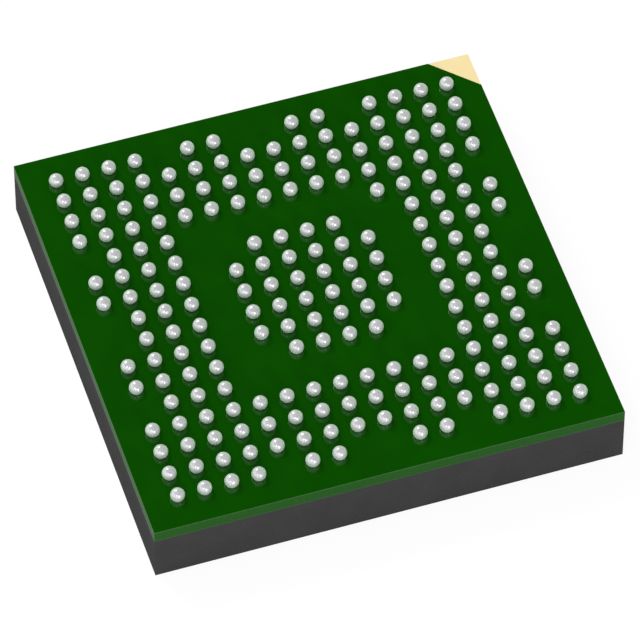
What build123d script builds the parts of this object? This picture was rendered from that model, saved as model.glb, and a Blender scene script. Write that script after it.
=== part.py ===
from build123d import *
import os
from collections import namedtuple
from math import atan2, cos, degrees, hypot, sin, sqrt

# A ball grid array integrated circuit, in millimetres, with its solder balls up.
# It rests on the marking face of its mould cap. The origin is the middle of that face and +Z points up.
# Ball A1 and the gold index corner lie at +X +Y. Rows A to T run from +Y to -Y and columns 1 to 16 from
# +X to -X.
# Every piece is made in place, on the stack of levels that all of them share.

os.makedirs("parts", exist_ok=True)

# Ball grid
pitch = 0.8
grid_count = 16  # rows, and columns
edge_margin = 1.0  # from the centres of the outermost balls to the edge of the body
band_depth = 4  # rows of balls in the band round the edge
gap_steps = (0.5, 3.5)  # places left empty in the outermost row of each side, in pitches from its middle
block_count = 6  # rows and columns of the block in the middle, which lacks its corners
ball_diameter = 0.42
ball_neck = 0.33  # where a ball leaves the mask, and so the opening over its land

# Mould cap
mould_height = 1.6
dimple_diameter = 0.8  # the shallow round index in the marking face
dimple_depth = 0.05
dimple_inset = 1.4  # from its centre to both edges

# Board layers
mask_thickness = 0.03
foil_thickness = 0.015  # outer copper, buried in the mask
prepreg_thickness = 0.08
plane_thickness = 0.018  # inner copper, buried in the prepreg
core_thickness = 0.18
plane_setback = 0.3  # from the planes to the sawn edge
index_mark_leg = 1.25  # the two equal sides of the gold corner
index_mark_thickness = 0.02

# Copper features
land_lap = 0.05  # how far the mask lies over the rim of a land
via_diameter = 0.1
via_cap_diameter = 0.2
antipad_gap = 0.1  # round a via in the plane that it doesn't join
lane_pitch = 0.15
trace_width = 0.04
finger_width = 0.09
finger_length = 0.25
finger_to_cap = 0.2  # from the fingers to the caps of the innermost row of the band
window_margin = 0.08  # of the bare window round the fingers
window_lap = 0.03  # how far the mask lies over the outer end of a finger

# Die
die_to_finger = 0.65
die_thickness = 0.28
attach_thickness = 0.03
attach_bleed = 0.05  # how far the adhesive shows round the die
paddle_margin = 0.15  # of the copper paddle round the die
pad_size = 0.08
pad_thickness = 0.004
pad_inset = 0.1  # from the centres of the pads to the edge of the die
pad_corner = 0.25  # from the edge of the die to the first pad of a row

# Bond wires
wire_diameter = 0.025
wire_loop = 0.15  # how far the wire stands off the die
wire_bend = 0.06
bond_ball_diameter = 0.06
bond_ball_height = 0.02
stitch_length = 0.08
stitch_width = 0.04
stitch_inset = 0.08  # from the inner end of a finger to the middle of the stitch

# Plan sizes that follow
middle = (grid_count - 1) / 2
body_side = (grid_count - 1) * pitch + 2 * edge_margin
half_body = body_side / 2
land_diameter = ball_neck + 2 * land_lap
antipad_diameter = via_diameter + 2 * antipad_gap
band_inner = (middle - band_depth + 1) * pitch
finger_end = band_inner - via_cap_diameter / 2 - finger_to_cap
finger_start = finger_end - finger_length
die_side = 2 * (finger_start - die_to_finger)
paddle_side = die_side + 2 * paddle_margin
plane_side = body_side - 2 * plane_setback

# Levels that follow, from the die's active face up to the mask that the balls stand on
attach_low = mould_height - attach_thickness
die_low = attach_low - die_thickness
pad_low = die_low - pad_thickness
laminate_low = mould_height + mask_thickness
copper_low = laminate_low - foil_thickness
core_low = laminate_low + prepreg_thickness
ground_low = core_low - plane_thickness
core_high = core_low + core_thickness
laminate_high = core_high + prepreg_thickness
land_high = laminate_high + foil_thickness
board_high = laminate_high + mask_thickness

ball_radius = ball_diameter / 2
neck_radius = ball_neck / 2
ball_rise = sqrt(ball_radius**2 - neck_radius**2)  # from the mask to the centre of a ball
wire_radius = wire_diameter / 2
row_letters = "ABCDEFGHJKLMNPRTUVWY"  # I, O, Q, S, X and Z are never used


def in_band(step):
    """Whether a row or column, counted in pitches from the middle, runs in the band round the edge."""
    return abs(step) > middle - band_depth


def is_gap(across, down):
    """Whether a place is one that the outermost row leaves empty."""
    near, far = sorted((abs(across), abs(down)))
    return far == middle and near in gap_steps


def in_block(across, down):
    """Whether a place is in the block under the die, which lacks its four corners."""
    near, far = sorted((abs(across), abs(down)))
    corner = (block_count - 1) / 2
    return far <= corner and near < corner


def use_of(across, down):
    """What the ball at a place does, or None where there is none."""
    if across == down == middle - band_depth:
        return "index"
    if in_block(across, down):
        return "thermal"
    if is_gap(across, down) or not (in_band(across) or in_band(down)):
        return None
    supply = "ground" if (across + down) % 2 else "power"
    if in_band(across) and in_band(down):
        return f"corner {supply}"
    if max(abs(across), abs(down)) == middle - band_depth + 1:
        return f"inner {supply}"
    return "signal"


steps = [middle - place for place in range(grid_count)]
balls = {(across, down): use_of(across, down) for down in steps for across in steps}


def places(*uses):
    """The centres of the balls with these uses."""
    return [(across * pitch, down * pitch) for (across, down), use in balls.items() if use in uses]


corner_places = places("corner ground", "corner power")
ground_places = places("corner ground", "inner ground", "thermal")
power_places = places("corner power", "inner power")
signal_places = places("signal")
via_places = signal_places + ground_places + power_places
land_places = via_places + places("index")

# The wired nets of the side at +Y. Parallel lanes reach the balls of a column: each row's lane runs one
# lane nearer the middle of the side than that of the row inside it, and starts at its own bond finger.
Net = namedtuple("Net", "row via_x via_y finger_x")
side_nets = []
for across in steps:
    for row in range(band_depth):
        down = middle - band_depth + 1 + row
        if balls[across, down] and not in_band(across):
            shift = -row * lane_pitch if across > 0 else row * lane_pitch
            side_nets.append(Net(row, across * pitch, down * pitch, across * pitch + shift))
side_nets.sort(key=lambda net: net.finger_x)

pad_row = die_side - 2 * pad_corner
pad_step = pad_row / (len(side_nets) - 1)
side_pads = [(k * pad_step - pad_row / 2, die_side / 2 - pad_inset) for k in range(len(side_nets))]
side_stitches = [(net.finger_x, finger_start + stitch_inset) for net in side_nets]
window_start = finger_start - window_margin
window_end = finger_end - window_lap
window_width = 2 * (side_nets[-1].finger_x + finger_width / 2 + window_margin)


def slab(side, low, thickness, mode=Mode.ADD):
    """A square sheet between two levels."""
    with Locations((0, 0, low + thickness / 2)):
        Box(side, side, thickness, mode=mode)


def discs(disc_places, diameter, low, thickness, mode=Mode.ADD):
    """Equal upright cylinders between two levels: pieces, or with Mode.SUBTRACT holes."""
    with Locations(*[(x, y, low + thickness / 2) for x, y in disc_places]):
        Cylinder(diameter / 2, thickness, mode=mode)


def run_of_trace(start, end):
    """Adds one straight run of a trace, with round ends."""
    length = hypot(end[0] - start[0], end[1] - start[1])
    turn = degrees(atan2(end[1] - start[1], end[0] - start[0]))
    with Locations(((start[0] + end[0]) / 2, (start[1] + end[1]) / 2)):
        SlotCenterToCenter(length, trace_width, rotation=turn)


# Outlines of the copper of one side. Each trace leaves the end of its finger along its lane, then turns off
# at 45 degrees to its via.

with BuildSketch() as side_outline:
    with Locations(*[(net.finger_x, (finger_start + finger_end) / 2) for net in side_nets]):
        Rectangle(finger_width, finger_length)
    with Locations(*[(net.via_x, net.via_y) for net in side_nets]):
        Circle(via_cap_diameter / 2)
    for net in side_nets:
        turn_off = (net.finger_x, net.via_y - abs(net.via_x - net.finger_x))
        run_of_trace((net.finger_x, finger_end - trace_width), turn_off)
        if net.row:
            run_of_trace(turn_off, (net.via_x, net.via_y))

# Board, from the die side to the ball side

with BuildPart() as finger_traces:
    with BuildSketch(Plane.XY.offset(copper_low)):
        with PolarLocations(0, 4):
            add(side_outline.sketch)
    extrude(amount=foil_thickness)
finger_traces.part.label = "finger_traces"

with BuildPart() as die_paddle:
    slab(paddle_side, copper_low, foil_thickness)
die_paddle.part.label = "die_paddle"

with BuildPart() as corner_caps:
    discs(corner_places, via_cap_diameter, copper_low, foil_thickness)
corner_caps.part.label = "corner_caps"

# The bare windows round the bond fingers, which the mould compound fills
with BuildPart() as windows:
    with PolarLocations(0, 4):
        with Locations((0, (window_start + window_end) / 2, mould_height + mask_thickness / 2)):
            Box(window_width, window_end - window_start, mask_thickness)

with BuildPart() as die_side_mask:
    slab(body_side, mould_height, mask_thickness)
    add([windows.part, finger_traces.part, die_paddle.part, corner_caps.part], mode=Mode.SUBTRACT)
die_side_mask.part.label = "die_side_mask"

with BuildPart() as vias:
    discs(via_places, via_diameter, laminate_low, laminate_high - laminate_low)
vias.part.label = "vias"

# Each plane joins its own vias and stands clear of the others
with BuildPart() as ground_plane:
    slab(plane_side, ground_low, plane_thickness)
    discs(ground_places, via_diameter, ground_low, plane_thickness, Mode.SUBTRACT)
    discs(signal_places + power_places, antipad_diameter, ground_low, plane_thickness, Mode.SUBTRACT)
ground_plane.part.label = "ground_plane"

with BuildPart() as power_plane:
    slab(plane_side, core_high, plane_thickness)
    discs(power_places, via_diameter, core_high, plane_thickness, Mode.SUBTRACT)
    discs(signal_places + ground_places, antipad_diameter, core_high, plane_thickness, Mode.SUBTRACT)
power_plane.part.label = "power_plane"

# The planes lie on the two faces of the core. The prepreg closes round their edges and fills their antipads.
with BuildPart() as die_side_prepreg:
    slab(body_side, laminate_low, prepreg_thickness)
    slab(plane_side, ground_low, plane_thickness, Mode.SUBTRACT)
    discs(signal_places + power_places, antipad_diameter, ground_low, plane_thickness)
    discs(via_places, via_diameter, laminate_low, prepreg_thickness, Mode.SUBTRACT)
die_side_prepreg.part.label = "die_side_prepreg"

with BuildPart() as core_laminate:
    slab(body_side, core_low, core_thickness)
    discs(via_places, via_diameter, core_low, core_thickness, Mode.SUBTRACT)
core_laminate.part.label = "core_laminate"

with BuildPart() as ball_side_prepreg:
    slab(body_side, core_high, prepreg_thickness)
    slab(plane_side, core_high, plane_thickness, Mode.SUBTRACT)
    discs(signal_places + ground_places, antipad_diameter, core_high, plane_thickness)
    discs(via_places, via_diameter, core_high, prepreg_thickness, Mode.SUBTRACT)
ball_side_prepreg.part.label = "ball_side_prepreg"

with BuildPart() as ball_lands:
    discs(land_places, land_diameter, laminate_high, foil_thickness)
ball_lands.part.label = "ball_lands"

with BuildSketch() as index_outline:
    with BuildLine():
        Polyline(
            (half_body, half_body),
            (half_body - index_mark_leg, half_body),
            (half_body, half_body - index_mark_leg),
            close=True,
        )
    make_face()

with BuildPart() as index_mark:
    with BuildSketch(Plane.XY.offset(laminate_high)):
        add(index_outline.sketch)
    extrude(amount=index_mark_thickness)
index_mark.part.label = "index_mark"

# The mask leaves the index corner bare. A pocket fits round each land from below, and a narrower opening
# above it lets the ball through.
with BuildPart() as ball_side_mask:
    slab(body_side, laminate_high, mask_thickness)
    with BuildSketch(Plane.XY.offset(laminate_high)):
        add(index_outline.sketch)
    extrude(amount=mask_thickness, mode=Mode.SUBTRACT)
    with Locations(*[Location((x, y, laminate_high), (180, 0, 0)) for x, y in land_places]):
        CounterBoreHole(neck_radius, land_diameter / 2, foil_thickness, mask_thickness)
ball_side_mask.part.label = "ball_side_mask"

# Die, face down

with BuildPart() as die_attach:
    slab(die_side + 2 * attach_bleed, attach_low, attach_thickness)
die_attach.part.label = "die_attach"

with BuildPart() as die:
    slab(die_side, die_low, die_thickness)
die.part.label = "die"

with BuildPart() as die_pads:
    with PolarLocations(0, 4):
        with Locations(*[(x, y, die_low - pad_thickness / 2) for x, y in side_pads]):
            Box(pad_size, pad_size, pad_thickness)
die_pads.part.label = "die_pads"


def bond_wire(pad, stitch):
    """A gold wire: a ball bond on its pad, an upright rise, a bend and a straight slope to its stitch."""
    turn = atan2(stitch[1] - pad[1], stitch[0] - pad[0])
    reach = hypot(stitch[1] - pad[1], stitch[0] - pad[0])
    upright = Plane(
        origin=(pad[0], pad[1], 0),
        x_dir=(cos(turn), sin(turn), 0),
        z_dir=(sin(turn), -cos(turn), 0),
    )
    with BuildPart() as wire:
        with BuildLine(upright) as route:
            FilletPolyline(
                (0, pad_low - bond_ball_height / 2),
                (0, die_low - wire_loop),
                (reach, copper_low - wire_radius),
                radius=wire_bend,
            )
        with BuildSketch(Plane(origin=route.line @ 0, z_dir=route.line % 0)):
            Circle(wire_radius)
        sweep()
        with Locations((pad[0], pad[1], pad_low - bond_ball_height / 2)):
            Cylinder(bond_ball_diameter / 2, bond_ball_height)
        with Locations((stitch[0], stitch[1], copper_low - wire_radius / 2)):
            Box(stitch_length, stitch_width, wire_radius, rotation=(0, 0, degrees(turn)))
    return wire.part


side_wires = [bond_wire(pad, stitch) for pad, stitch in zip(side_pads, side_stitches)]
wire_sides = {}
for side, turn in {"back": 0, "left": 90, "front": 180, "right": 270}.items():
    with BuildPart() as bond_wires:
        with Locations(Location((0, 0, 0), (0, 0, turn))):
            add(side_wires)
    bond_wires.part.label = f"bond_wires_{side}"
    wire_sides[side] = bond_wires

# The compound fills the windows in the mask and closes round the fingers, the die, its pads and every wire
with BuildPart() as mould_cap:
    slab(body_side, 0, mould_height)
    add(windows.part)
    embedded = (finger_traces, die_attach, die, die_pads, *wire_sides.values())
    add([piece.part for piece in embedded], mode=Mode.SUBTRACT)
    with Locations((half_body - dimple_inset, half_body - dimple_inset, dimple_depth / 2)):
        Cylinder(dimple_diameter / 2, dimple_depth, mode=Mode.SUBTRACT)
mould_cap.part.label = "mould_cap"

# Solder balls: a true sphere above the mask, and a short neck down to the land

with BuildPart() as solder_ball:
    with BuildSketch(Plane.XZ):
        with BuildLine():
            ThreePointArc((neck_radius, 0), (ball_radius, ball_rise), (0, ball_rise + ball_radius))
            Polyline(
                (0, ball_rise + ball_radius),
                (0, land_high - board_high),
                (neck_radius, land_high - board_high),
                (neck_radius, 0),
            )
        make_face()
    revolve(axis=Axis.Z)

ball_rows = []
for letter, down in zip(row_letters, steps):
    row_places = [(across * pitch, down * pitch, board_high) for across in steps if balls[across, down]]
    with BuildPart() as ball_row:
        with Locations(*row_places):
            add(solder_ball.part)
    ball_row.part.label = f"balls_row_{letter.lower()}"
    ball_rows.append(ball_row)

board = (
    finger_traces,
    die_paddle,
    corner_caps,
    die_side_mask,
    vias,
    ground_plane,
    power_plane,
    die_side_prepreg,
    core_laminate,
    ball_side_prepreg,
    ball_lands,
    index_mark,
    ball_side_mask,
)
for piece in (*board, die_attach, die, die_pads, *wire_sides.values(), mould_cap, *ball_rows):
    export_step(piece.part, f"parts/{piece.part.label}.step")
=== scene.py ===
import math

import bpy
from bpy.props import FloatProperty, FloatVectorProperty, PointerProperty
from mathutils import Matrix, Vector


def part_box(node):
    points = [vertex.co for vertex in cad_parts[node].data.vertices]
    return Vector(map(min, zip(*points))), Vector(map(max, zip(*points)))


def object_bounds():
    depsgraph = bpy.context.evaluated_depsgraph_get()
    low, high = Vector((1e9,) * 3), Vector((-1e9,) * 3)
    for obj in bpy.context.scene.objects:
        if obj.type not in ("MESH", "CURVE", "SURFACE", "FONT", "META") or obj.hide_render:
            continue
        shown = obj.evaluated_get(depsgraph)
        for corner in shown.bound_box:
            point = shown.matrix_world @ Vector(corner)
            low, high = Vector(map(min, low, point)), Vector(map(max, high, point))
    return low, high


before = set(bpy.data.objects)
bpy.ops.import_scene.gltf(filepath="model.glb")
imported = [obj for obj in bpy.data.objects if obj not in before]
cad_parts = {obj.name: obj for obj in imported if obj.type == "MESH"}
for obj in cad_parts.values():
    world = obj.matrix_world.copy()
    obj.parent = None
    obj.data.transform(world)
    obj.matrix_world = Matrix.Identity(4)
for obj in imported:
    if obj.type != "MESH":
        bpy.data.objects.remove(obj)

bl_info = {
    "name": "Ball grid array package",
    "version": (1, 0, 0),
    "blender": (4, 5, 0),
    "location": "3D Viewport > Sidebar > Package",
    "description": "Finishes a ball grid array package, ball side up, and lays it on a floor",
    "category": "Object",
}

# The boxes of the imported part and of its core, in metres, and the nodes that share a finish
CAD_LOW, CAD_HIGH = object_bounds()
CORE_LOW, CORE_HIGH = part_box("core_laminate")
HALF_BODY = CAD_HIGH.x
MILLIMETRE = 0.001
BALL_ROWS = sorted(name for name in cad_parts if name.startswith("balls_row_"))
WIRE_FANS = sorted(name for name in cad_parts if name.startswith("bond_wires_"))
COPPER_PIECES = (
    "finger_traces",
    "die_paddle",
    "corner_caps",
    "vias",
    "ground_plane",
    "power_plane",
    "ball_lands",
)

# How much darker and lighter the clouds in a plain colour are than the colour itself
CLOUD_SHADES = (0.95, 1.05)

# Softboxes round the package: the way to each, its width and height in metres, and its radiance.
# They are narrow and off the main directions, so that the glossy lacquer seldom mirrors them.
LAMP_DISTANCE = 0.3
SOFTBOXES = (
    ("front_softbox", (0.158, -0.945, 0.288), (0.04, 0.085), 22.0),
    ("front_left_softbox", (-0.44, -0.667, 0.6), (0.026, 0.026), 50.0),
    ("back_softbox", (-0.24, 0.67, 0.70), (0.08, 0.1), 12.0),
)


# Shader maths


class Value:
    """A socket of a node tree, so that shader maths reads as Python."""

    def __init__(self, recipe, socket):
        self.recipe = recipe
        self.socket = socket

    def maths(self, operation, *values):
        return self.recipe.node("ShaderNodeMath", {"operation": operation}, dict(enumerate(values)))

    def __add__(self, other):
        return self.maths("ADD", self, other)

    def __radd__(self, other):
        return self.maths("ADD", other, self)

    def __sub__(self, other):
        return self.maths("SUBTRACT", self, other)

    def __rsub__(self, other):
        return self.maths("SUBTRACT", other, self)

    def __mul__(self, other):
        return self.maths("MULTIPLY", self, other)

    def __rmul__(self, other):
        return self.maths("MULTIPLY", other, self)

    def __truediv__(self, other):
        return self.maths("DIVIDE", self, other)

    def __abs__(self):
        return self.maths("ABSOLUTE", self)

    def most(self, other):
        return self.maths("MAXIMUM", self, other)

    def floor(self):
        return self.maths("FLOOR", self)

    def sine(self):
        return self.maths("SINE", self)

    def between(self, low, high):
        """0 at low and before it, 1 at high and past it, and smooth in between."""
        spans = {"interpolation_type": "SMOOTHSTEP", "clamp": True}
        ends = {0: self, 1: low, 2: high, 3: 0.0, 4: 1.0}
        return self.recipe.node("ShaderNodeMapRange", spans, ends)


class Recipe:
    """A node tree, which is filled by one method."""

    def __init__(self, owner):
        owner.use_nodes = True
        self.tree = owner.node_tree
        self.tree.nodes.clear()

    def node(self, kind, settings, inputs, output=0):
        """Adds a node, makes its settings, feeds its sockets and returns one of its outputs."""
        made = self.tree.nodes.new(kind)
        for name, setting in settings.items():
            setattr(made, name, setting)
        for key, value in inputs.items():
            self.feed(made.inputs[key], value)
        return Value(self, made.outputs[output]) if made.outputs else None

    def feed(self, socket, value):
        """Links a Value to a socket, or sets a number or colour on it."""
        if isinstance(value, Value):
            self.tree.links.new(value.socket, socket)
        else:
            socket.default_value = value

    def parts(self, vector):
        """The x, y and z of a vector."""
        return [self.node("ShaderNodeSeparateXYZ", {}, {0: vector}, axis) for axis in "XYZ"]

    def mix(self, factor, first, second):
        """The first colour where factor is 0, and the second where it is 1."""
        colours = {"Factor": factor, 6: rgba(first), 7: rgba(second)}
        return self.node("ShaderNodeMix", {"data_type": "RGBA"}, colours, 2)


class Finish(Recipe):
    """A material made of nodes, whose patterns are laid out in millimetres on the piece."""

    def __init__(self, name):
        self.material = bpy.data.materials.new(name)
        super().__init__(self.material)

    def surface(self, **inputs):
        """The finish's own surface: base_color feeds Base Color, and so on."""
        sockets = {}
        for name, value in inputs.items():
            sockets[name.replace("_", " ").title().replace("Ior", "IOR")] = value
        return self.node("ShaderNodeBsdfPrincipled", {}, sockets)

    def set(self, **inputs):
        """Makes the surface the whole finish."""
        self.node("ShaderNodeOutputMaterial", {}, {"Surface": self.surface(**inputs)})

    def place(self, stretch=(1.0, 1.0, 1.0)):
        """The place on the piece in millimetres, each axis stretched by a factor."""
        here = self.node("ShaderNodeTexCoord", {}, {}, "Object")
        scale = [factor / MILLIMETRE for factor in stretch]
        return self.node("ShaderNodeMapping", {}, {"Vector": here, "Scale": scale})

    def axes(self):
        """x, y and z on the piece, in millimetres."""
        return self.parts(self.place())

    def noise(self, scale, detail=2.0, stretch=(1.0, 1.0, 1.0)):
        """Cloudy noise from 0 to 1, with scale features in a millimetre."""
        inputs = {"Vector": self.place(stretch), "Scale": scale, "Detail": detail}
        return self.node("ShaderNodeTexNoise", {}, inputs)

    def clouded(self, colour, clouds):
        """A plain colour with faint darker and lighter clouds."""
        darker, lighter = (shaded(colour, shade) for shade in CLOUD_SHADES)
        return self.mix(clouds.between(0.3, 0.7), darker, lighter)

    def grains(self, scale):
        """How far each point is from the middle of its grain, with scale grains in a millimetre."""
        return self.node("ShaderNodeTexVoronoi", {}, {"Vector": self.place(), "Scale": scale})

    def shades(self, scale):
        """A random number from 0 to 1 for each grain, with scale grains in a millimetre."""
        inputs = {"Vector": self.place(), "Scale": scale}
        colours = self.node("ShaderNodeTexVoronoi", {}, inputs, "Color")
        return self.node("ShaderNodeSeparateColor", {}, {0: colours}, 0)

    def bump(self, height, depth):
        """A normal from a height of 0 to 1 that stands for depth metres."""
        inputs = {"Height": height, "Distance": depth, "Strength": 1.0}
        return self.node("ShaderNodeBump", {}, inputs, "Normal")

    def put_on(self, *names):
        """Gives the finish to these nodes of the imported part."""
        for name in names:
            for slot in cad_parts[name].material_slots:
                slot.material = self.material


def rgba(colour):
    """A Value as it is, and three numbers with an alpha of 1."""
    return colour if isinstance(colour, Value) else (*colour, 1.0)


def shaded(colour, *shares):
    """A colour with all its channels multiplied by one share, or each by its own."""
    return [channel * share for channel, share in zip(colour, shares * (3 // len(shares)))]


def colour_choice(name, description, default):
    return FloatVectorProperty(
        name=name,
        description=description,
        subtype="COLOR",
        size=3,
        min=0.0,
        max=1.0,
        default=default,
    )


def length_choice(name, description, default):
    return FloatProperty(
        name=name, description=description, subtype="DISTANCE", unit="LENGTH", default=default
    )


def share_choice(name, description, default):
    return FloatProperty(
        name=name, description=description, subtype="FACTOR", min=0.0, max=1.0, default=default
    )


# Settings


class SolderSettings(bpy.types.PropertyGroup):
    colour: colour_choice("Solder", "Colour of the tin alloy", (0.735, 0.74, 0.757))
    frost_colour: colour_choice(
        "Frost", "Colour of the dull crystals between the bright ones", (0.65, 0.655, 0.672)
    )
    roughness: share_choice("Roughness", "How satin the balls are", 0.25)
    # Painted rim light: a sheen that brightens the rims of the balls, with a green tint that is a
    # painted reflection of the green board.
    rim_sheen: share_choice("Rim sheen", "Sheen that brightens the rims of the balls, painted rim light", 1.0)
    rim_sheen_tint: colour_choice("Rim sheen tint", "Green of the sheen, a painted reflection of the board", (0.6, 1.0, 0.6))
    pitch: length_choice("Ball pitch", "Distance between neighbouring balls", 0.8 * MILLIMETRE)
    grain: length_choice("Grain", "Size of the crystals on a ball", 0.03 * MILLIMETRE)
    grain_depth: length_choice("Grain depth", "Relief of the crystals", 0.0003 * MILLIMETRE)


class BoardSettings(bpy.types.PropertyGroup):
    lacquer: colour_choice("Lacquer", "Green of the solder mask", (0.0034, 0.0725, 0.0001))
    # The ball-side edge is partly the sawn mask's own green and partly a painted highlight along
    # the top edge of the board.
    highlit_upper_edge: colour_choice(
        "Upper edge", "Green of the sawn edge of the sheet on the ball side, lighter as a painted highlight", (0.0125, 0.106, 0.006)
    )
    lower_edge: colour_choice(
        "Lower edge", "Green of the sawn edge of the sheet on the die side", (0.006, 0.074, 0.002)
    )
    laminate: colour_choice(
        "Laminate", "Colour of the resin in the sawn edge", (0.0135, 0.086, 0.0088)
    )
    glass: colour_choice(
        "Glass", "Colour of the cut glass bundles in the sawn edge", (0.02, 0.097, 0.014)
    )
    bundle_pitch: length_choice(
        "Bundle pitch", "Distance between glass bundles", 0.42 * MILLIMETRE
    )
    ply: length_choice("Ply", "Height over which the bundles repeat", 0.12 * MILLIMETRE)
    lacquer_roughness: share_choice("Lacquer roughness", "How glossy the solder mask is", 0.05)


class CapSettings(bpy.types.PropertyGroup):
    compound: colour_choice("Compound", "Colour of the moulding compound", (0.048, 0.0475, 0.048))
    filler: colour_choice("Filler", "Colour of the cut silica grains", (0.082, 0.081, 0.082))
    filler_size: length_choice("Filler size", "Spacing of the silica grains", 0.07 * MILLIMETRE)
    roughness: share_choice("Roughness", "How matt the compound is", 0.62)


class MetalSettings(bpy.types.PropertyGroup):
    gold: colour_choice("Gold plate", "Colour of the index corner", (1.0, 0.835, 0.445))
    wire: colour_choice("Gold wire", "Colour of the bond wires", (1.0, 0.7, 0.28))
    copper: colour_choice("Copper", "Colour of the plated copper", (0.78, 0.38, 0.22))
    aluminium: colour_choice("Pad metal", "Colour of the pads of the die", (0.8, 0.81, 0.82))
    silicon: colour_choice("Silicon", "Colour of the die", (0.09, 0.1, 0.12))
    adhesive: colour_choice("Adhesive", "Colour of the silver-filled adhesive", (0.55, 0.55, 0.53))


class StageSettings(bpy.types.PropertyGroup):
    floor_side: length_choice("Floor", "Side of the square floor", 2.0)
    eye: FloatVectorProperty(
        name="Eye",
        description="Place of the camera",
        subtype="XYZ",
        unit="LENGTH",
        default=(-0.038573, -0.120068, 0.161219),
    )
    line_of_sight: FloatVectorProperty(
        name="Line of sight",
        description="Direction that the camera looks in",
        subtype="DIRECTION",
        default=(0.18944, 0.58745, -0.78677),
    )
    focal_length: FloatProperty(
        name="Focal length",
        description="Focal length on a sensor 36 mm wide",
        unit="CAMERA",
        default=396.4,
    )
    floor_glow: share_choice(
        "Floor glow", "How far the floor is washed out to white for the camera", 0.85
    )
    left_wall: share_choice("Left wall", "Brightness of the studio towards -X", 0.85)
    right_wall: share_choice("Right wall", "Brightness of the studio towards +X", 0.3)
    front_corner: share_choice("Front corner", "Brightness of the studio at the front left", 1.0)
    ceiling: share_choice("Ceiling", "Brightness of the ceiling in reflections", 0.01)
    wall_height: share_choice(
        "Wall height", "Sine of the angle up to which the walls stay bright", 0.5
    )
    ceiling_height: share_choice(
        "Ceiling height", "Sine of the angle at which the dark ceiling begins", 0.7
    )


# Operators


class FinishSolder(bpy.types.Operator):
    """Gives the solder balls their satin crystal finish"""

    bl_idname = "package.finish_solder"
    bl_label = "Finish Solder Balls"

    def execute(self, context):
        settings = context.scene.package_solder
        finish = Finish("solder")
        x, y, z = finish.axes()
        pitch = settings.pitch / MILLIMETRE
        corner = {0: (x / pitch).floor(), 1: (y / pitch).floor(), 2: 0.0}
        cell = {"Vector": finish.node("ShaderNodeCombineXYZ", {}, corner)}
        in_space = {"noise_dimensions": "3D"}
        per_ball = finish.node("ShaderNodeTexWhiteNoise", in_space, cell, "Value")
        crystal = finish.shades(MILLIMETRE / settings.grain)
        clouds = finish.noise(7.0, 3.0)
        frost = clouds.between(0.42, 0.68) * (0.35 + 0.65 * crystal)
        finish.set(
            base_color=finish.mix(frost, settings.colour, settings.frost_colour),
            metallic=0.3,
            # Painted rim light and reflection: the sheen lights the rims, and its green tint stands
            # in for the board mirrored in them.
            sheen_weight=settings.rim_sheen,
            sheen_roughness=0.5,
            sheen_tint=rgba(settings.rim_sheen_tint),
            roughness=settings.roughness + 0.05 * (frost - 0.3) + 0.02 * (per_ball - 0.5),
            normal=finish.bump(crystal + 0.6 * clouds, settings.grain_depth),
        )
        finish.put_on(*BALL_ROWS)
        return {"FINISHED"}


class FinishLacquer(bpy.types.Operator):
    """Gives both sheets of solder mask their glossy green lacquer and paler sawn edges, the
    ball-side edge lighter still as a painted highlight along the board's top edge
    """

    bl_idname = "package.finish_lacquer"
    bl_label = "Finish Solder Mask"

    def execute(self, context):
        settings = context.scene.package_board
        finish = Finish("lacquer")
        x, y, z = finish.axes()
        half = HALF_BODY / MILLIMETRE
        sawn = abs(x).most(abs(y)).between(half - 0.012, half - 0.002)
        clouds = finish.noise(0.8, 3.0)
        sheet = finish.clouded(settings.lacquer, clouds)
        # Painted highlight: the sheet above the core gets the lighter edge colour, which stands in
        # for the highlight along the board's top edge.
        upper = z.between(CORE_LOW.z / MILLIMETRE, CORE_HIGH.z / MILLIMETRE)
        edge = finish.mix(upper, settings.lower_edge, settings.highlit_upper_edge)
        finish.set(
            base_color=finish.mix(sawn, sheet, edge),
            roughness=settings.lacquer_roughness + 0.35 * sawn + 0.02 * clouds,
            specular_ior_level=0.45,
            normal=finish.bump(finish.noise(3.2, 2.0), 0.0012 * MILLIMETRE),
        )
        finish.put_on("ball_side_mask", "die_side_mask")
        return {"FINISHED"}


class FinishLaminate(bpy.types.Operator):
    """Gives the core and both bonded layers sawn resin with cut glass bundles"""

    bl_idname = "package.finish_laminate"
    bl_label = "Finish Laminate"

    def execute(self, context):
        settings = context.scene.package_board
        finish = Finish("laminate")
        x, y, z = finish.axes()
        drift = finish.noise(2.0, 2.0)
        along = x + y + 0.12 * drift
        bundles = self.wave(along, settings.bundle_pitch) * self.wave(z, settings.ply)
        threads = finish.noise(40.0, 2.0, (1.0, 1.0, 0.2))
        glass = bundles.between(0.1, 0.9) * (0.25 + 0.5 * threads)
        finish.set(
            base_color=finish.mix(glass, settings.laminate, settings.glass),
            roughness=0.42 - 0.1 * glass,
            specular_ior_level=0.08,
            normal=finish.bump(threads + 0.4 * glass, 0.002 * MILLIMETRE),
        )
        finish.put_on("core_laminate", "die_side_prepreg", "ball_side_prepreg")
        return {"FINISHED"}

    def wave(self, place, length):
        """A sine from -1 to 1 that repeats after length metres of a place in millimetres."""
        return (place * (2 * math.pi * MILLIMETRE / length)).sine()


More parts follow.
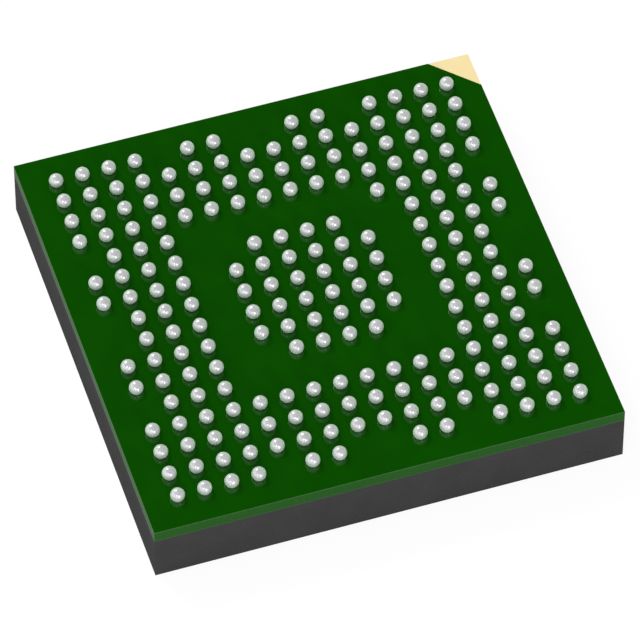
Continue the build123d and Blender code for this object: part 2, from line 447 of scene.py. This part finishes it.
class FinishMouldCap(bpy.types.Operator):
    """Gives the mould cap fine matt compound, with cut filler grains and saw lines on its sides"""

    bl_idname = "package.finish_mould_cap"
    bl_label = "Finish Mould Cap"

    def execute(self, context):
        settings = context.scene.package_cap
        finish = Finish("compound")
        x, y, z = finish.axes()
        half = HALF_BODY / MILLIMETRE
        sawn = abs(x).most(abs(y)).between(half - 0.02, half - 0.004)
        grains = finish.grains(MILLIMETRE / settings.filler_size)
        filler = (1 - grains.between(0.16, 0.3)) * finish.noise(9.0).between(0.45, 0.62)
        compound = finish.clouded(settings.compound, finish.noise(1.1, 4.0))
        lines = finish.noise(6.0, 3.0, (0.12, 0.12, 6.0))
        pits = finish.noise(28.0, 3.0)
        finish.set(
            base_color=finish.mix(filler * (0.15 + 0.45 * sawn), compound, settings.filler),
            roughness=settings.roughness + 0.12 * (pits - 0.5),
            specular_ior_level=0.01,
            normal=finish.bump(pits * (1 - 0.6 * sawn) + lines * sawn, 0.004 * MILLIMETRE),
        )
        finish.put_on("mould_cap")
        return {"FINISHED"}


class FinishIndexMark(bpy.types.Operator):
    """Gives the bare index corner its pale satin gold plate"""

    bl_idname = "package.finish_index_mark"
    bl_label = "Finish Index Corner"

    def execute(self, context):
        settings = context.scene.package_metal
        finish = Finish("gold_plate")
        brushed = finish.noise(14.0, 3.0, (0.15, 1.0, 1.0))
        clouds = finish.noise(3.0, 3.0)
        deeper = shaded(settings.gold, 0.99, 0.965, 0.9)
        finish.set(
            base_color=finish.mix(clouds.between(0.35, 0.65), settings.gold, deeper),
            metallic=0.05,
            specular_ior_level=0.2,
            roughness=0.48 + 0.1 * brushed,
            normal=finish.bump(brushed, 0.0006 * MILLIMETRE),
        )
        finish.put_on("index_mark")
        return {"FINISHED"}


class FinishCopper(bpy.types.Operator):
    """Gives the lands, traces, vias, caps, paddle and planes their plated copper"""

    bl_idname = "package.finish_copper"
    bl_label = "Finish Copper"

    def execute(self, context):
        settings = context.scene.package_metal
        finish = Finish("copper_plate")
        nodules = finish.grains(60.0)
        stain = finish.noise(1.6, 4.0).between(0.4, 0.75)
        tarnished = shaded(settings.copper, 0.72, 0.6, 0.55)
        finish.set(
            base_color=finish.mix(stain, settings.copper, tarnished),
            metallic=1.0,
            roughness=0.36 + 0.18 * stain,
            normal=finish.bump(nodules, 0.001 * MILLIMETRE),
        )
        finish.put_on(*COPPER_PIECES)
        return {"FINISHED"}


class FinishDie(bpy.types.Operator):
    """Gives the die its polished silicon, and its pads and adhesive their metal"""

    bl_idname = "package.finish_die"
    bl_label = "Finish Die"

    def execute(self, context):
        settings = context.scene.package_metal
        self.silicon(settings)
        self.pads(settings)
        self.adhesive(settings)
        return {"FINISHED"}

    def silicon(self, settings):
        """Square blocks of circuits in slightly different tints, made of fine cells."""
        finish = Finish("silicon")
        squares = {"distance": "CHEBYCHEV"}
        floor_plan = {"Vector": finish.place(), "Scale": 1.3, "Randomness": 0.8}
        blocks = finish.node("ShaderNodeTexVoronoi", squares, floor_plan, "Color")
        block = finish.node("ShaderNodeSeparateColor", {}, {0: blocks}, 0)
        rows = {"Vector": finish.place((1.0, 2.5, 1.0)), "Scale": 22.0, "Randomness": 0.35}
        cells = finish.node("ShaderNodeTexVoronoi", squares, rows)
        tinted = shaded(settings.silicon, 1.9, 1.5, 1.1)
        finish.set(
            base_color=finish.mix(block * cells.between(0.1, 0.5), settings.silicon, tinted),
            metallic=0.35,
            roughness=0.16 + 0.2 * block,
            normal=finish.bump(cells, 0.0005 * MILLIMETRE),
        )
        finish.put_on("die")

    def pads(self, settings):
        """Bright film with fine grain."""
        finish = Finish("pad_metal")
        grains = finish.noise(90.0, 2.0)
        worn = shaded(settings.aluminium, 0.8)
        finish.set(
            base_color=finish.mix(grains, settings.aluminium, worn),
            metallic=1.0,
            roughness=0.25 + 0.2 * grains,
            normal=finish.bump(grains, 0.0004 * MILLIMETRE),
        )
        finish.put_on("die_pads")

    def adhesive(self, settings):
        """Silver flakes in resin."""
        finish = Finish("silver_adhesive")
        flake = finish.shades(45.0)
        dull = shaded(settings.adhesive, 0.6)
        finish.set(
            base_color=finish.mix(flake, dull, settings.adhesive),
            metallic=0.6 * flake,
            roughness=0.5 - 0.2 * flake,
            normal=finish.bump(flake, 0.002 * MILLIMETRE),
        )
        finish.put_on("die_attach")


class FinishBondWires(bpy.types.Operator):
    """Gives the bond wires their bright drawn gold"""

    bl_idname = "package.finish_bond_wires"
    bl_label = "Finish Bond Wires"

    def execute(self, context):
        settings = context.scene.package_metal
        finish = Finish("drawn_gold")
        drawn = finish.noise(120.0, 2.0)
        deeper = shaded(settings.wire, 0.9, 0.82, 0.7)
        finish.set(
            base_color=finish.mix(drawn, settings.wire, deeper),
            metallic=1.0,
            roughness=0.2 + 0.15 * drawn,
            normal=finish.bump(drawn, 0.0003 * MILLIMETRE),
        )
        finish.put_on(*WIRE_FANS)
        return {"FINISHED"}


class LayStage(bpy.types.Operator):
    """Lays the floor and backdrop, lights the studio and sets the camera"""

    bl_idname = "package.lay_stage"
    bl_label = "Lay Stage"

    def execute(self, context):
        settings = context.scene.package_stage
        self.floor(context, settings)
        self.studio(context, settings)
        for name, direction, size, radiance in SOFTBOXES:
            self.lamp(context, name, direction, size, radiance)
        self.camera(context, settings)
        context.scene.view_settings.view_transform = "Standard"
        return {"FINISHED"}

    def floor(self, context, settings):
        """White paper, open just under the package, so that its marking face shows from below."""
        bpy.ops.object.select_all(action="DESELECT")
        bpy.ops.mesh.primitive_plane_add(size=settings.floor_side)
        floor = context.active_object
        floor.name = "studio_floor"
        bpy.ops.object.mode_set(mode="EDIT")
        bpy.ops.mesh.inset(thickness=settings.floor_side / 2 - HALF_BODY)
        bpy.ops.mesh.delete(type="FACE")
        bpy.ops.object.mode_set(mode="OBJECT")
        finish = Finish("floor_paper")
        fibres = finish.noise(1.5, 4.0)
        paper = finish.surface(
            base_color=finish.mix(fibres, (0.85, 0.85, 0.85), (0.88, 0.88, 0.88)),
            roughness=0.9,
            specular_ior_level=0.1,
        )
        glow = {"Color": rgba((1.0, 1.0, 1.0)), "Strength": 1.06}
        white = finish.node("ShaderNodeEmission", {}, glow)
        seen = finish.node("ShaderNodeLightPath", {}, {}, "Is Camera Ray") * settings.floor_glow
        shown = finish.node("ShaderNodeMixShader", {}, {0: seen, 1: paper, 2: white})
        finish.node("ShaderNodeOutputMaterial", {}, {"Surface": shown})
        floor.data.materials.append(finish.material)

    def studio(self, context, settings):
        """A bright room, with a ceiling that is dark in reflections, so the lacquer stays green."""
        world = bpy.data.worlds.new("studio")
        context.scene.world = world
        recipe = Recipe(world)
        way = recipe.node("ShaderNodeTexCoord", {}, {}, "Generated")
        across, along, height = recipe.parts(way)
        left, right, front, top = (
            [brightness] * 3
            for brightness in (
                settings.left_wall,
                settings.right_wall,
                settings.front_corner,
                settings.ceiling,
            )
        )
        sides = recipe.mix(across.between(-0.9, 0.9), left, right)
        corner = (0.55 * across + 0.83 * along).between(-0.35, -0.9)
        walls = recipe.mix(corner, sides, front)
        mirrored = recipe.node("ShaderNodeLightPath", {}, {}, "Is Glossy Ray")
        ceiling = height.between(settings.wall_height, settings.ceiling_height) * mirrored
        light = recipe.mix(ceiling, walls, top)
        room = recipe.node("ShaderNodeBackground", {}, {"Color": light})
        white = recipe.node("ShaderNodeBackground", {}, {"Color": rgba((1.0, 1.0, 1.0))})
        seen = recipe.node("ShaderNodeLightPath", {}, {}, "Is Camera Ray")
        shown = recipe.node("ShaderNodeMixShader", {}, {0: seen, 1: room, 2: white})
        recipe.node("ShaderNodeOutputWorld", {}, {"Surface": shown})

    def lamp(self, context, name, direction, size, radiance):
        """A rectangular softbox that shines at the package, as bright all over as its radiance."""
        light = bpy.data.lights.new(name, "AREA")
        light.shape = "RECTANGLE"
        light.size, light.size_y = size
        light.energy = math.pi * radiance * size[0] * size[1]
        lamp = bpy.data.objects.new(name, light)
        way = Vector(direction).normalized()
        lamp.location = way * LAMP_DISTANCE
        lamp.rotation_euler = (-way).to_track_quat("-Z", "Y").to_euler()
        lamp.visible_camera = False
        context.scene.collection.objects.link(lamp)

    def camera(self, context, settings):
        lens = bpy.data.cameras.new("camera")
        lens.sensor_width = 36.0
        lens.lens = settings.focal_length
        lens.clip_start, lens.clip_end = 0.001, 10.0
        camera = bpy.data.objects.new("camera", lens)
        camera.location = settings.eye
        camera.rotation_euler = Vector(settings.line_of_sight).to_track_quat("-Z", "Y").to_euler()
        context.scene.collection.objects.link(camera)
        context.scene.camera = camera


class PackagePanel(bpy.types.Panel):
    """Lists the finishes of the package and the stage"""

    bl_idname = "VIEW3D_PT_package"
    bl_label = "Ball Grid Array Package"
    bl_space_type = "VIEW_3D"
    bl_region_type = "UI"
    bl_category = "Package"

    def draw(self, context):
        for name, _ in SETTINGS:
            box = self.layout.box()
            group = getattr(context.scene, name)
            for key in group.bl_rna.properties.keys():
                if key not in ("rna_type", "name"):
                    box.prop(group, key)
        for operator in OPERATORS:
            self.layout.operator(operator.bl_idname)


SETTINGS = (
    ("package_solder", SolderSettings),
    ("package_board", BoardSettings),
    ("package_cap", CapSettings),
    ("package_metal", MetalSettings),
    ("package_stage", StageSettings),
)
OPERATORS = (
    FinishSolder,
    FinishLacquer,
    FinishLaminate,
    FinishMouldCap,
    FinishIndexMark,
    FinishCopper,
    FinishDie,
    FinishBondWires,
    LayStage,
)


def register():
    for name, group in SETTINGS:
        bpy.utils.register_class(group)
        setattr(bpy.types.Scene, name, PointerProperty(type=group))
    for operator in OPERATORS:
        bpy.utils.register_class(operator)
    bpy.utils.register_class(PackagePanel)


def unregister():
    bpy.utils.unregister_class(PackagePanel)
    for operator in reversed(OPERATORS):
        bpy.utils.unregister_class(operator)
    for name, group in reversed(SETTINGS):
        delattr(bpy.types.Scene, name)
        bpy.utils.unregister_class(group)


def main():
    register()
    for operator in OPERATORS:
        family, action = operator.bl_idname.split(".")
        getattr(getattr(bpy.ops, family), action)()


if __name__ == "__main__":
    main()
